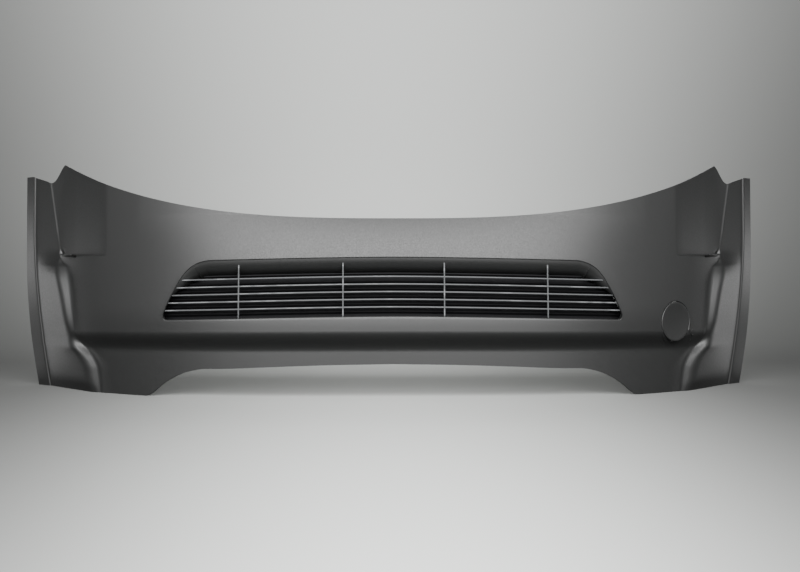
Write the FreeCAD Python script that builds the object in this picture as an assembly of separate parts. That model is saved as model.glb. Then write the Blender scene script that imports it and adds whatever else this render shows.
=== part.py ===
import FreeCAD, Part
import math
import os

# Front bumper cover of a small car, in millimetres.
# X runs across the car, +Y from the front towards the rear, +Z up. The origin is on the plane of
# symmetry, on the floor that the cover stands on, halfway along its depth.

# ---------------------------------------------------------------- driving dimensions
WALL = 3.0                     # moulded wall thickness
DEPTH_SHIFT = 187.0            # from the front-most line of the skin to the origin

# plan view of the skin: depth behind the front-most line, against distance from the middle
SWEEP_X = 590.0
SWEEP_DEPTH = 135.0
SWEEP_POWER = 2.93
CORNER_X = 600.0
CORNER_TURN = 0.0018

# side view of the skin
LEAN_FROM = 165.0              # height above which the skin leans back
LEAN = 0.149
TOP_ROLL_FROM = 270.0
TOP_ROLL = 12.0 / 91.0 ** 2    # extra curve towards the top edge in the middle
CHIN_DEPTH = 26.0              # how far the lower lip sits behind the face above it
CHIN_TOP = 138.0
CHIN_BOTTOM = 97.0
CHIN_DROP = 6.0                # how much lower the chin line is at the corners

# heights
TOP_MIDDLE = 361.0
PEAK_X = 705.0
PEAK_RISE = 120.0
PEAK_POWER = 2.9
NOTCH = (740.0, 443.0)
FLARE_TOP = (782.0, 456.0)
LIP_TOP = (812.0, 459.0)
ARCH_RISE = 77.0               # height of the lower edge in the middle
FOOT_INNER_X = 498.0

# upper corner pocket
POCKET_X = 593.0
POCKET_BOTTOM = 287.0
POCKET_PLAN = ((POCKET_X, 137.0), (606.0, 150.5), (620.0, 167.0), (640.0, 190.0), (660.0, 211.0),
               (680.0, 231.0), (713.0, 260.0), (745.0, 283.0), (760.0, 293.0))

# grille opening
OPENING_TOP = 283.0
OPENING_BOTTOM = 168.0
BOW = 10.0                     # drop of its level lines at BOW_X from the middle
BOW_X = 450.0
BOW_POWER = 1.6
HOOD_DEPTH = 30.0
HOOD_BOTTOM = 252.0

# grille
SLAT_COUNT = 5
SLAT_TOP = 246.0
SLAT_PITCH = 15.0
SLAT_THICK = 2.8
SLAT_DEPTH = 20.0
GRILLE_SET_BACK = 7.0          # from the skin's face to the slats' front edges
BAR_X = (-307.0, -100.0, 100.0, 307.0)
BAR_THICK = 2.8
FRAME_BAND = 10.0

# tow-eye cover
TOW_X = 589.0
TOW_Z = 149.0
TOW_RADIUS = 41.0
TOW_GAP = 0.6

# fixings: ears and tabs on the back of the cover, and what sits on them
PLATE = 3.0                    # thickness of every ear, tab and bracket plate
RAIL_LEVEL = 350.0             # underside of the ears behind the top edge
RAIL_DEPTH = 76.0              # depth of the rail's line of holes
RAIL_CLIP_X = (-330.0, -110.0, 110.0, 330.0)
RAIL_FREE_X = (-220.0, 0.0, 220.0)
TRAY_LEVEL = 82.0              # underside of the ears behind the lower lip
TRAY_DEPTH = 78.0
TRAY_X = (-300.0, -100.0, 100.0, 300.0)
STIFFENER_CLIP_X = (-200.0, 0.0, 200.0)
STIFFENER_BACK = 32.0          # from the plan line to the stiffener's front wall
STIFFENER_WIDE = 24.0
CLIP_HOLE_RADIUS = 4.0
TAB_Z = (70.0, 190.0, 310.0)   # arch-lip tabs; the middle one is left free
TAB_HOLE_RADIUS = 3.0
CORNER_LEVEL = 415.0
CORNER_HOLES = ((692.0, 345.0), (732.0, 345.0))
CORNER_HOLE_RADIUS = 3.5
GRILLE_SCREW_X = 200.0

Vec = FreeCAD.Vector


# ---------------------------------------------------------------- shape of the skin
def between(value, pairs):
    """Straight-line reading of a short list of (place, amount) pairs."""
    if value <= pairs[0][0]:
        return pairs[0][1]
    for (a, first), (b, second) in zip(pairs, pairs[1:]):
        if value <= b:
            return first + (second - first) * (value - a) / (b - a)
    return pairs[-1][1]


def smooth(value, low, high):
    """0 below low, 1 above high, with a soft start and end."""
    share = min(max((value - low) / (high - low), 0.0), 1.0)
    return share * share * (3.0 - 2.0 * share)


def bow(x):
    return BOW * (abs(x) / BOW_X) ** BOW_POWER


def sweep(x):
    """Depth of the plan curve behind the front-most line."""
    x = abs(x)
    return SWEEP_DEPTH * (x / SWEEP_X) ** SWEEP_POWER + CORNER_TURN * max(x - CORNER_X, 0.0) ** 2


def lean(x, z):
    """How far the skin leans back at a height."""
    x = abs(x)
    side = 1.0 - 0.45 * (x / 700.0) ** 2
    middle = max(1.0 - (x / 520.0) ** 2, 0.0)
    roll = TOP_ROLL * min(max(z - TOP_ROLL_FROM, 0.0), 100.0) ** 2
    return LEAN * max(z - LEAN_FROM, 0.0) * side + roll * middle


def chin(x, z):
    """Set-back of the lower lip, under the overhanging chin."""
    drop = CHIN_DROP * (x / 534.0) ** 2
    under = 1.0 - smooth(z, CHIN_BOTTOM - drop, CHIN_TOP - drop)
    return CHIN_DEPTH * under


def face_depth(x, z):
    """Depth of the main face at a place in front view."""
    return sweep(x) + lean(x, z) + chin(x, z)


def pocket_depth(x, z):
    """Depth of the recessed upper corner, which turns back hard and then faces forward again."""
    return between(x, POCKET_PLAN) + lean(x, z)


# upright feature lines at each end, as (height, distance from the middle)
CREASE_X = ((-40, 603), (0, 605), (50, 611), (70, 621), (88, 637), (117, 659), (163, 667), (234, 679),
            (264, 692), (284, 713), (443, 740), (520, 752))
CREST_X = ((-40, 618), (0, 626), (20, 636), (50, 643), (75, 657), (95, 674), (120, 680), (263, 714),
           (288, 719), (443, 745), (520, 757))
CREST_RISE = ((0, 5.0), (50, 8.0), (120, 6.0), (200, 4.0), (260, 6.0), (288, 3.0), (520, 2.5))


def lip_inner(z):
    """Inner line of the wheel-arch lip: distance from the middle, and depth."""
    across = 783.0 - 36.0 * (max(330.0 - z, 0.0) / 330.0) ** 1.6
    return across, 310.0 + 38.0 * (max(z, 0.0) / 443.0) ** 1.2


def lip_outer(z):
    """Outer line of the wheel-arch lip."""
    across = 812.0 - 32.0 * (max(300.0 - z, 0.0) / 300.0) ** 1.7
    return across, lip_inner(z)[1] + 22.0


def half_row(z):
    """One level line of the skin, from the middle to the arch lip, as (x, depth)."""
    row = [(x, face_depth(x, z)) for x in (0, 45, 90, 140, 190, 240, 290, 340, 385, 425, 460, 495, 525)]
    crease = between(z, CREASE_X)
    crest = between(z, CREST_X)
    for share in (0.17, 0.32, 0.44, 0.54, 0.64, 0.74, 0.84, 0.93, 1.0):
        x = 530.0 + (crease - 530.0) * share
        depth = face_depth(x, z)
        if x > POCKET_X:
            recess = smooth(z, POCKET_BOTTOM - 1.5, POCKET_BOTTOM + 1.5)
            depth += (pocket_depth(x, z) - depth) * recess
        row.append((x, depth))
    crease_depth = row[-1][1]
    crest_depth = crease_depth + between(z, CREST_RISE)
    for share in (0.5, 0.85):
        row.append((crease + (crest - crease) * share, crease_depth + (crest_depth - crease_depth) * share))
    inner_x, inner_depth = lip_inner(z)
    for share in (0.0, 0.08, 0.35, 0.65, 0.93):
        row.append((crest + (inner_x - crest) * share, crest_depth + (inner_depth - crest_depth) * share))
    outer_x, outer_depth = lip_outer(z)
    row.append((inner_x, inner_depth))
    row.append((inner_x + 4.0, inner_depth))
    for share in (0.45, 0.9, 1.0):
        row.append((inner_x + 4.0 + (outer_x - inner_x - 4.0) * share,
                    inner_depth + (outer_depth - inner_depth) * share))
    return row


LEVELS = (-40, -15, 10, 30, 50, 66, 78, 88, 96, 104, 112, 120, 128, 136, 144, 155, 170, 195, 220, 245, 262,
          274, 282, 286, 288, 292, 302, 320, 345, 372, 400, 425, 450, 480, 515)


def outer_net():
    """Points of the skin's outer face, one list per upright line from left to right."""
    rows = [half_row(z) for z in LEVELS]
    net = []
    count = len(rows[0])
    for column in range(-(count - 1), count):
        side = -1.0 if column < 0 else 1.0
        points = []
        for z, row in zip(LEVELS, rows):
            x, depth = row[abs(column)]
            points.append(Vec(side * x, depth - DEPTH_SHIFT, z))
        net.append(points)
    return net


def offset_net(net, distance):
    """The net moved inwards along its own smoothed normals."""
    across = len(net)
    up = len(net[0])
    normals = []
    for i in range(across):
        column = []
        for j in range(up):
            along = net[min(i + 1, across - 1)][j] - net[max(i - 1, 0)][j]
            rise = net[i][min(j + 1, up - 1)] - net[i][max(j - 1, 0)]
            column.append(rise.cross(along).normalize())
        normals.append(column)
    moved = []
    for i in range(across):
        column = []
        for j in range(up):
            total = Vec(0, 0, 0)
            for k in range(max(i - 1, 0), min(i + 2, across)):
                for m in range(max(j - 1, 0), min(j + 2, up)):
                    total = total + normals[k][m]
            column.append(net[i][j] + total.normalize() * distance)
        moved.append(column)
    return moved


# ---------------------------------------------------------------- solids from nets of points
def knots(count, degree):
    inner = count - degree
    return [degree + 1] + [1] * (inner - 1) + [degree + 1], list(range(inner + 1))


def net_face(net):
    """A smooth face whose control points are the net."""
    across = min(3, len(net) - 1)
    up = min(3, len(net[0]) - 1)
    across_times, across_knots = knots(len(net), across)
    up_times, up_knots = knots(len(net[0]), up)
    surface = Part.BSplineSurface()
    surface.buildFromPolesMultsKnots(net, across_times, up_times, across_knots, up_knots,
                                     False, False, across, up)
    return surface.toShape()


def net_solid(front, back):
    """The closed solid between two nets of the same size."""
    sides = [
        [front[0], back[0]],
        [front[-1], back[-1]],
        [[column[0] for column in front], [column[0] for column in back]],
        [[column[-1] for column in front], [column[-1] for column in back]],
    ]
    shell = Part.makeShell([net_face(net) for net in [front, back] + sides])
    shell.sewShape()
    solid = Part.makeSolid(shell)
    if solid.Volume < 0:
        solid.reverse()
    return solid


def spline_edge(points):
    curve = Part.BSplineCurve()
    curve.interpolate(points)
    return curve.toShape()


def front_prism(edges, front=-260.0, length=600.0):
    """A closed outline in front view, given as edges in the plane Y = 0, run through the depth."""
    face = Part.Face(Part.Wire(edges))
    face.translate(Vec(0, front, 0))
    return face.extrude(Vec(0, length, 0))


def chain(points):
    """Straight edges from point to point, as (x, z) pairs in front view."""
    places = [Vec(x, 0, z) for x, z in points]
    return [Part.makeLine(a, b) for a, b in zip(places, places[1:])]


def mirrored(shape):
    return shape.mirror(Vec(0, 0, 0), Vec(1, 0, 0))


def both(shape):
    return [shape, mirrored(shape)]


# ---------------------------------------------------------------- outlines in front view
def above_top_edge():
    """Everything above the top edge, on the right and the left."""
    sweep_up = [Vec(x, 0, TOP_MIDDLE + PEAK_RISE * (x / PEAK_X) ** PEAK_POWER)
                for x in (0.0, 150.0, 300.0, 420.0, 520.0, 610.0, PEAK_X)]
    last = sweep_up[-1]
    falling = [last, Vec(722.0, 0, 458.0), Vec(731.0, 0, 446.5), Vec(NOTCH[0], 0, NOTCH[1])]
    edges = [spline_edge(sweep_up), spline_edge(falling)]
    edges += chain([NOTCH, FLARE_TOP, LIP_TOP, (860, 459), (860, 600), (0, 600), (0, TOP_MIDDLE)])
    return both(front_prism(edges))


def under_arch():
    """The space under the lower edge, between the feet."""
    arch = ((0, 77), (200, 71), (343, 62.5), (381, 59), (414, 52.5), (446, 39), (472, 22),
            (FOOT_INNER_X, 0))
    edges = [spline_edge([Vec(x, 0, z) for x, z in arch])]
    edges += chain([(FOOT_INNER_X, 0), (860, 0), (860, -80), (0, -80), (0, ARCH_RISE)])
    return both(front_prism(edges))


def opening_edges(grow=0.0):
    """Outline of the grille opening, made larger all round by grow."""
    top = [(-378, OPENING_TOP - bow(378)), (-200, OPENING_TOP - bow(200)), (0, OPENING_TOP),
           (200, OPENING_TOP - bow(200)), (378, OPENING_TOP - bow(378))]
    side = [(378, OPENING_TOP - bow(378)), (403, 265), (421, 246), (439, 217), (453, 190), (461, 171)]
    low = OPENING_BOTTOM - bow(452)
    bottom = [(452, low), (240, OPENING_BOTTOM - bow(240)), (0, OPENING_BOTTOM),
              (-240, OPENING_BOTTOM - bow(240)), (-452, low)]
    middle = 0.5 * (OPENING_TOP + OPENING_BOTTOM)

    def place(point):
        x, z = point
        across = math.copysign(grow, x) * min(abs(x) / 350.0, 1.0)
        return Vec(x + across, 0, z + math.copysign(grow, z - middle))

    mirror_side = [(-x, z) for x, z in side]
    corner = (463.0, 160.0)
    return [
        spline_edge([place(p) for p in top]),
        spline_edge([place(p) for p in side]),
        Part.Arc(place(side[-1]), place(corner), place(bottom[0])).toShape(),
        spline_edge([place(p) for p in bottom]),
        Part.Arc(place(bottom[-1]), place((-corner[0], corner[1])), place(mirror_side[-1])).toShape(),
        spline_edge([place(p) for p in mirror_side]),
    ]


# ---------------------------------------------------------------- tow-eye cover's place
TOW_SLOPE = SWEEP_POWER * SWEEP_DEPTH / SWEEP_X * (TOW_X / SWEEP_X) ** (SWEEP_POWER - 1.0)
TOW_YAW = math.atan(TOW_SLOPE)
TOW_OUT = Vec(math.sin(TOW_YAW), -math.cos(TOW_YAW), 0)
TOW_CENTRE = Vec(TOW_X, face_depth(TOW_X, TOW_Z) - DEPTH_SHIFT, TOW_Z)


def tow_disc(radius, outward, thick):
    """A round slab about the tow-eye axis, from outward millimetres proud of the skin, inwards."""
    start = TOW_CENTRE + TOW_OUT * outward
    return Part.makeCylinder(radius, thick, start, TOW_OUT * -1.0)


def strip_along(xs, section):
    """A band that follows the plan curve. At each x, section gives its front and its back line as
    (depth, height) pairs."""
    nets = ([], [])
    for x in xs:
        base = sweep(x) - DEPTH_SHIFT
        for net, line in zip(nets, section(x)):
            net.append([Vec(x, base + depth, z) for depth, z in line])
    return net_solid(nets[0], nets[1])


def span(low, high, count):
    return [low + (high - low) * k / (count - 1) for k in range(count)]


def upright(radius, length, x, depth, bottom):
    """A cylinder along Z."""
    return Part.makeCylinder(radius, length, Vec(x, depth - DEPTH_SHIFT, bottom))


def lengthways(radius, length, x, depth, z):
    """A cylinder along Y, from depth towards the rear."""
    return Part.makeCylinder(radius, length, Vec(x, depth - DEPTH_SHIFT, z), Vec(0, 1, 0))


def block(low, high):
    """A box between two corners given as (x, depth, z)."""
    size = [b - a for a, b in zip(low, high)]
    return Part.makeBox(size[0], size[1], size[2], Vec(low[0], low[1] - DEPTH_SHIFT, low[2]))


# ---------------------------------------------------------------- the moulded cover
def hood_band():
    """The rolled-in hood above the slats."""
    def section(x):
        top = OPENING_TOP - bow(x)
        low = HOOD_BOTTOM - bow(x)
        face = lean(x, top)
        line = ((0.4, top + 3.0), (3.5, top - 2.5), (11.0, top - 10.0), (22.0, low + 9.0),
                (HOOD_DEPTH, low))
        outer = [(face + depth, z) for depth, z in line]
        inner = [(face + depth + 1.8, z + 1.8) for depth, z in line]
        return outer, inner
    return strip_along(span(-408.0, 408.0, 17), section).common(front_prism(opening_edges(2.5)))


def ear(x, level, depth, width=34.0):
    """A flat ear from the skin's back to a little past a hole's line."""
    outer = abs(x) + width / 2
    start = face_depth(outer, level) + 0.6
    return block((x - width / 2, start, level), (x + width / 2, depth + 10.0, level + PLATE))


def stiffener_line(x):
    return sweep(x) + STIFFENER_BACK + STIFFENER_WIDE / 2


def tab(z):
    """A flat tab inside the right wheel-arch lip, square to the car's length."""
    x, depth = lip_outer(z)
    return block((x - 40.0, depth - 7.0, z - 15.0), (x - 12.0, depth - 7.0 + PLATE, z + 15.0))


def tab_place(z):
    x, depth = lip_outer(z)
    return x - 29.0, depth - 7.0


def boss_places():
    """Screw bosses above and below the grille opening, as (x, z)."""
    high = OPENING_TOP - bow(GRILLE_SCREW_X) + 17.0
    low = OPENING_BOTTOM - bow(GRILLE_SCREW_X) - 15.0
    return [(x, z) for x in (-GRILLE_SCREW_X, GRILLE_SCREW_X) for z in (high, low)]


def boss_face(x, z):
    return face_depth(x, z) + 20.0


def bumper_cover():
    net = outer_net()
    skin = net_solid(net, offset_net(net, WALL))
    skin = skin.cut(above_top_edge() + under_arch() + [front_prism(opening_edges())])
    skin = skin.cut(tow_disc(TOW_RADIUS + TOW_GAP, 30.0, 60.0))
    added = [hood_band()]
    holes = []
    for x in RAIL_CLIP_X:
        added.append(ear(x, RAIL_LEVEL, RAIL_DEPTH))
        holes.append(upright(CLIP_HOLE_RADIUS, 3 * PLATE, x, RAIL_DEPTH, RAIL_LEVEL - PLATE))
    for x in TRAY_X:
        added.append(ear(x, TRAY_LEVEL, TRAY_DEPTH))
        holes.append(upright(CLIP_HOLE_RADIUS, 3 * PLATE, x, TRAY_DEPTH, TRAY_LEVEL - PLATE))
    for x in STIFFENER_CLIP_X:
        added.append(ear(x, TRAY_LEVEL, stiffener_line(x)))
        holes.append(upright(CLIP_HOLE_RADIUS, 3 * PLATE, x, stiffener_line(x), TRAY_LEVEL - PLATE))
    for z in TAB_Z:
        x, depth = tab_place(z)
        added += both(tab(z))
        holes += both(lengthways(TAB_HOLE_RADIUS, 3 * PLATE, x, depth - PLATE, z))
    for x, z in boss_places():
        start = face_depth(x, z) + 1.5
        added.append(lengthways(5.0, boss_face(x, z) - start, x, start, z))
        holes.append(lengthways(2.0, 14.0, x, boss_face(x, z) - 13.0, z))
    return skin.fuse(added).cut(holes)


# ---------------------------------------------------------------- grille
def half_opening(z):
    """Half width of the opening at a height."""
    return between(z, ((158, 462), (171, 461), (190, 453), (217, 439), (246, 421), (265, 403), (275, 378)))


def slat(index):
    """One level blade, its front edge set back from the skin."""
    middle = SLAT_TOP - SLAT_PITCH * index
    reach = half_opening(middle - bow(430.0)) + 5.0

    def section(x):
        z = middle - bow(x)
        front = lean(x, z) + GRILLE_SET_BACK
        low = [(front + depth, z - SLAT_THICK / 2) for depth in (0.0, SLAT_DEPTH)]
        high = [(front + depth, z + SLAT_THICK / 2) for depth in (0.0, SLAT_DEPTH)]
        return low, high
    return strip_along(span(-reach, reach, 15), section)


def bar(x):
    """One upright bar across the slats' front edges, its top under the hood's roll."""
    low = OPENING_BOTTOM - bow(x) - 4.0
    high = OPENING_TOP - bow(x) - 11.0
    corners = []
    for z, depth in ((low, 0.0), (high, 0.0), (high, 4.0), (low, 4.0)):
        y = sweep(x) + lean(x, z) + GRILLE_SET_BACK + depth - DEPTH_SHIFT
        corners.append(Vec(x - BAR_THICK / 2, y, z))
    face = Part.Face(Part.makePolygon(corners + corners[:1]))
    return face.extrude(Vec(BAR_THICK, 0, 0))


def curved_slab(near, far, reach=490.0):
    """A plate that follows the skin's plan and lean, between two depths behind its face."""
    levels = (125.0, 165.0, 215.0, 265.0, 315.0)

    def section(x):
        return ([(lean(x, z) + near, z) for z in levels], [(lean(x, z) + far, z) for z in levels])
    return strip_along(span(-reach, reach, 19), section)


def grille_insert():
    """Frame ring behind the opening, five slats and four bars, one moulding."""
    ring = curved_slab(4.0, GRILLE_SET_BACK + SLAT_DEPTH)
    ring = ring.common(front_prism(opening_edges(FRAME_BAND)))
    ring = ring.cut(front_prism(opening_edges(3.2)))
    pieces = [slat(k) for k in range(SLAT_COUNT)] + [bar(x) for x in BAR_X]
    holes = []
    for x, z in boss_places():
        face = boss_face(x, z)
        reach = 14.0 if z < OPENING_BOTTOM else -14.0
        low, high = sorted((z - math.copysign(6.0, reach), z + reach))
        pieces.append(block((x - 8.0, face, low), (x + 8.0, face + 2.5, high)))
        holes.append(lengthways(2.3, 8.0, x, face - 2.0, z))
    return ring.fuse(pieces).cut(holes)


def louvre_blade(index):
    """One blade of the panel, sloping down towards the rear."""
    middle = SLAT_TOP + 0.4 * SLAT_PITCH - SLAT_PITCH * index

    def section(x):
        z = middle - bow(x)
        near = lean(x, z) + GRILLE_SET_BACK + SLAT_DEPTH + 1.0
        return ([(near, z - 1.0), (near + 11.0, z - 7.0)], [(near, z + 1.0), (near + 11.0, z - 5.0)])
    return strip_along(span(-475.0, 475.0, 17), section)


def grille_louvre_panel():
    """Closed panel with down-sloping blades behind the slats."""
    start = GRILLE_SET_BACK + SLAT_DEPTH + 9.0
    panel = curved_slab(start, start + 2.5).fuse([louvre_blade(k) for k in range(-1, SLAT_COUNT + 1)])
    return panel.common(front_prism(opening_edges(FRAME_BAND - 1.0)))


def screw(x, depth, z, shank, length, head, facing=1.0):
    """A screw along Y, its head's seat at depth, the head towards facing."""
    seat = Vec(x, depth - DEPTH_SHIFT, z)
    rod = Part.makeCylinder(shank, length, seat, Vec(0, -facing, 0))
    cap = Part.makeCylinder(head, 1.6, seat, Vec(0, facing, 0))
    dome = Part.makeCone(head, head * 0.55, 1.2, seat + Vec(0, 1.6 * facing, 0), Vec(0, facing, 0))
    return rod.fuse([cap, dome])


def grille_screws():
    return [screw(x, boss_face(x, z) + 2.5, z, 1.9, 13.0, 4.2) for x, z in boss_places()]


# ---------------------------------------------------------------- tow-eye cover
def tow_eye_cover():
    """Round cap with a shallow dish and three snap legs."""
    cap = tow_disc(TOW_RADIUS, 0.6, WALL)
    dish = Part.makeSphere(700.0, TOW_CENTRE + TOW_OUT * (700.0 - 0.4))
    cap = cap.cut(dish)
    legs = []
    for turn in (90.0, 210.0, 330.0):
        leg = Part.makeBox(12.0, 2.4, 16.0, Vec(-6.0, TOW_RADIUS - 5.0, 0.0))
        barb = Part.makeBox(12.0, 1.8, 4.0, Vec(-6.0, TOW_RADIUS - 2.6, 9.0))
        piece = leg.fuse(barb)
        piece.rotate(Vec(0, 0, 0), Vec(0, 0, 1), turn)
        legs.append(piece)
    turned = FreeCAD.Rotation(Vec(0, 0, 1), TOW_OUT * -1.0)
    start = TOW_CENTRE - TOW_OUT * 1.6
    placed = []
    for piece in legs:
        piece.Placement = FreeCAD.Placement(start, turned).multiply(piece.Placement)
        placed.append(piece)
    return cap.fuse(placed)


# ---------------------------------------------------------------- push clips
def clip_body(x, depth, seat, grip):
    """Flanged hollow body, its flange on seat, pushed down through holes."""
    body = upright(8.5, 1.6, x, depth, seat)
    body = body.fuse(upright(CLIP_HOLE_RADIUS - 0.1, grip + 4.0, x, depth, seat - grip - 4.0))
    return body.cut(upright(1.9, grip + 12.0, x, depth, seat - grip - 8.0))


def clip_pin(x, depth, seat, grip):
    """Headed pin that sits in the hollow body."""
    head = upright(5.0, 1.2, x, depth, seat + 1.6)
    return head.fuse(upright(1.8, grip + 5.0, x, depth, seat - grip - 3.4))


# ---------------------------------------------------------------- upper rail and lower stiffener
RAIL_SEAT = RAIL_LEVEL + 2 * PLATE


def upper_retainer_rail():
    rail = block((-350.0, RAIL_DEPTH - 11.0, RAIL_LEVEL + PLATE), (350.0, RAIL_DEPTH + 11.0, RAIL_SEAT))
    rib = block((-350.0, RAIL_DEPTH + 11.0, RAIL_LEVEL - 9.0), (350.0, RAIL_DEPTH + 13.5, RAIL_SEAT))
    holes = [upright(CLIP_HOLE_RADIUS, 3 * PLATE, x, RAIL_DEPTH, RAIL_LEVEL)
             for x in RAIL_CLIP_X + RAIL_FREE_X]
    return rail.fuse(rib).cut(holes)


STIFFENER_FLOOR = TRAY_LEVEL + PLATE


def lower_stiffener():
    """Open channel behind the lower lip, its floor on the ears."""
    top = STIFFENER_FLOOR + 24.0
    near = STIFFENER_BACK
    far = STIFFENER_BACK + STIFFENER_WIDE
    wall = 2.5

    def outer(x):
        return ([(near, STIFFENER_FLOOR), (near, top)], [(far, STIFFENER_FLOOR), (far, top)])

    def inner(x):
        return ([(near + wall, STIFFENER_FLOOR + wall), (near + wall, top + 5.0)],
                [(far - wall, STIFFENER_FLOOR + wall), (far - wall, top + 5.0)])
    channel = strip_along(span(-380.0, 380.0, 15), outer).cut(strip_along(span(-390.0, 390.0, 15), inner))
    holes = [upright(CLIP_HOLE_RADIUS, 3 * PLATE, x, stiffener_line(x), STIFFENER_FLOOR - 2.0)
             for x in STIFFENER_CLIP_X]
    return channel.cut(holes)


# ---------------------------------------------------------------- corner brackets and arch fixings
def corner_bracket(skin):
    """Shelf inside the right upper corner with a down-turned rear rib, its front edge against the skin."""
    shelf = block((668.0, 228.0, CORNER_LEVEL), (752.0, 362.0, CORNER_LEVEL + PLATE))
    rib = block((668.0, 359.0, CORNER_LEVEL - 14.0), (752.0, 362.0, CORNER_LEVEL + PLATE))
    whole = shelf.fuse(rib).cut(skin)
    rear = max(whole.Solids, key=lambda piece: piece.CenterOfMass.y)
    holes = [upright(CORNER_HOLE_RADIUS, 3 * PLATE, x, depth, CORNER_LEVEL - PLATE)
             for x, depth in CORNER_HOLES]
    return rear.cut(holes)


def spring_nut(z):
    """Folded sheet clip over a tab's inner edge."""
    x, depth = tab_place(z)
    low = depth - 1.2
    high = depth + PLATE + 1.2
    clip = block((x - 13.5, low, z - 8.0), (x + 7.0, high, z + 8.0))
    slot = block((x - 12.3, depth, z - 9.0), (x + 9.0, depth + PLATE, z + 9.0))
    collar = lengthways(4.0, 2.5, x, low - 2.5, z)
    return clip.fuse(collar).cut([slot, lengthways(2.5, 20.0, x, low - 6.0, z)])


def arch_screw(z):
    x, depth = tab_place(z)
    return screw(x, depth + PLATE + 1.2, z, 2.4, 11.5, 6.0)


# ---------------------------------------------------------------- writing the sub-parts
def write(name, shapes):
    shape = shapes if isinstance(shapes, Part.Shape) else Part.makeCompound(shapes)
    shape.exportStep("parts/" + name + ".step")
    print(name, len(shape.Solids), "solids, valid", shape.isValid(), "volume", round(shape.Volume))


def main():
    os.makedirs("parts", exist_ok=True)
    cover = bumper_cover()
    write("bumper_cover", cover)
    write("grille_insert", grille_insert())
    write("grille_louvre_panel", grille_louvre_panel())
    write("grille_screws", grille_screws())
    write("tow_eye_cover", tow_eye_cover())
    write("upper_retainer_rail", upper_retainer_rail())
    rail_grip = 2 * PLATE
    write("rail_push_clips", [clip_body(x, RAIL_DEPTH, RAIL_SEAT, rail_grip) for x in RAIL_CLIP_X])
    write("rail_clip_pins", [clip_pin(x, RAIL_DEPTH, RAIL_SEAT, rail_grip) for x in RAIL_CLIP_X])
    write("lower_stiffener", lower_stiffener())
    floor_top = STIFFENER_FLOOR + 2.5
    floor_grip = PLATE + 2.5
    places = [(x, stiffener_line(x)) for x in STIFFENER_CLIP_X]
    write("stiffener_push_clips", [clip_body(x, depth, floor_top, floor_grip) for x, depth in places])
    write("stiffener_clip_pins", [clip_pin(x, depth, floor_top, floor_grip) for x, depth in places])
    bracket = corner_bracket(cover)
    nuts = [spring_nut(z) for z in (TAB_Z[0], TAB_Z[-1])]
    screws = [arch_screw(z) for z in (TAB_Z[0], TAB_Z[-1])]
    write("corner_bracket_right", bracket)
    write("corner_bracket_left", mirrored(bracket))
    write("arch_spring_nuts_right", nuts)
    write("arch_spring_nuts_left", [mirrored(nut) for nut in nuts])
    write("arch_liner_screws_right", screws)
    write("arch_liner_screws_left", [mirrored(each) for each in screws])


main()
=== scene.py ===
import math

import bmesh
import bpy
from mathutils import Matrix, Vector


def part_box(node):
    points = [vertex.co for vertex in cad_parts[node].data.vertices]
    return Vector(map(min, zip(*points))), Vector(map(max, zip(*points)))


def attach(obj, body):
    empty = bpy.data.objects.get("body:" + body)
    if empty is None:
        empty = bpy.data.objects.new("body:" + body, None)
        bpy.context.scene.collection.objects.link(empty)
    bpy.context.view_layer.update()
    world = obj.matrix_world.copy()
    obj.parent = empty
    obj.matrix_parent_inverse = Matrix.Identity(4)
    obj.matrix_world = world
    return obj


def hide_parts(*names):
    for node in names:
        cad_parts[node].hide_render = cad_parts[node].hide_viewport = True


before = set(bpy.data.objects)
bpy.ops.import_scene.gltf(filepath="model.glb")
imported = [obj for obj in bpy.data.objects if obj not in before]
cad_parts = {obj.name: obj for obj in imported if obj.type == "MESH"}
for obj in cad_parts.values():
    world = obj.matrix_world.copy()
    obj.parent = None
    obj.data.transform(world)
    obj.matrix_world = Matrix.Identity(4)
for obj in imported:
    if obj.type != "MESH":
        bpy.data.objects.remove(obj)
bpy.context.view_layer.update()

bl_info = {
    "name": "Bumper cover",
    "version": (1, 0, 0),
    "blender": (4, 5, 0),
    "location": "3D View > Sidebar > Bumper",
    "description": "Builds the visible pieces and finishes of a small car's front bumper cover",
    "category": "Object",
}

# ------------------------------------------------------------------ driving dimensions, millimetres
# x runs across the car from the plane of symmetry, depth runs back from the front-most line of the
# skin, z is height above the floor.
MM = 0.001
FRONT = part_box("bumper_cover")[0].y
COVER_BODY = "cover"
CAP_BODY = "tow_cap"

SWEEP_X = 590.0
SWEEP_DEPTH = 135.0
SWEEP_POWER = 2.93
CORNER_X = 600.0
CORNER_TURN = 0.0010
LEAN_FROM = 165.0
LEAN = 0.149
TOP_ROLL_FROM = 270.0
TOP_ROLL = 12.0 / 91.0 ** 2
CHIN_DEPTH = 26.0
CHIN_TOP = 138.0
CHIN_BOTTOM = 97.0
CHIN_DROP = 6.0

TOP_MIDDLE = 361.0
PEAK_X = 705.0
PEAK_RISE = 120.0
PEAK_POWER = 2.9
PEAK_FALL = ((705.0, 481.0), (711.0, 475.0), (722.0, 458.0), (731.0, 446.5), (740.0, 443.0),
             (752.0, 447.0), (782.0, 456.0), (790.0, 458.6), (812.0, 459.0))
LOWER_EDGE = ((0.0, 71.5), (120.0, 69.5), (240.0, 65.0), (343.0, 60.0), (381.0, 59.0), (414.0, 52.5),
              (446.0, 39.0), (472.0, 22.0), (490.0, 7.0), (500.0, 1.2), (510.0, 0.0))

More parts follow.
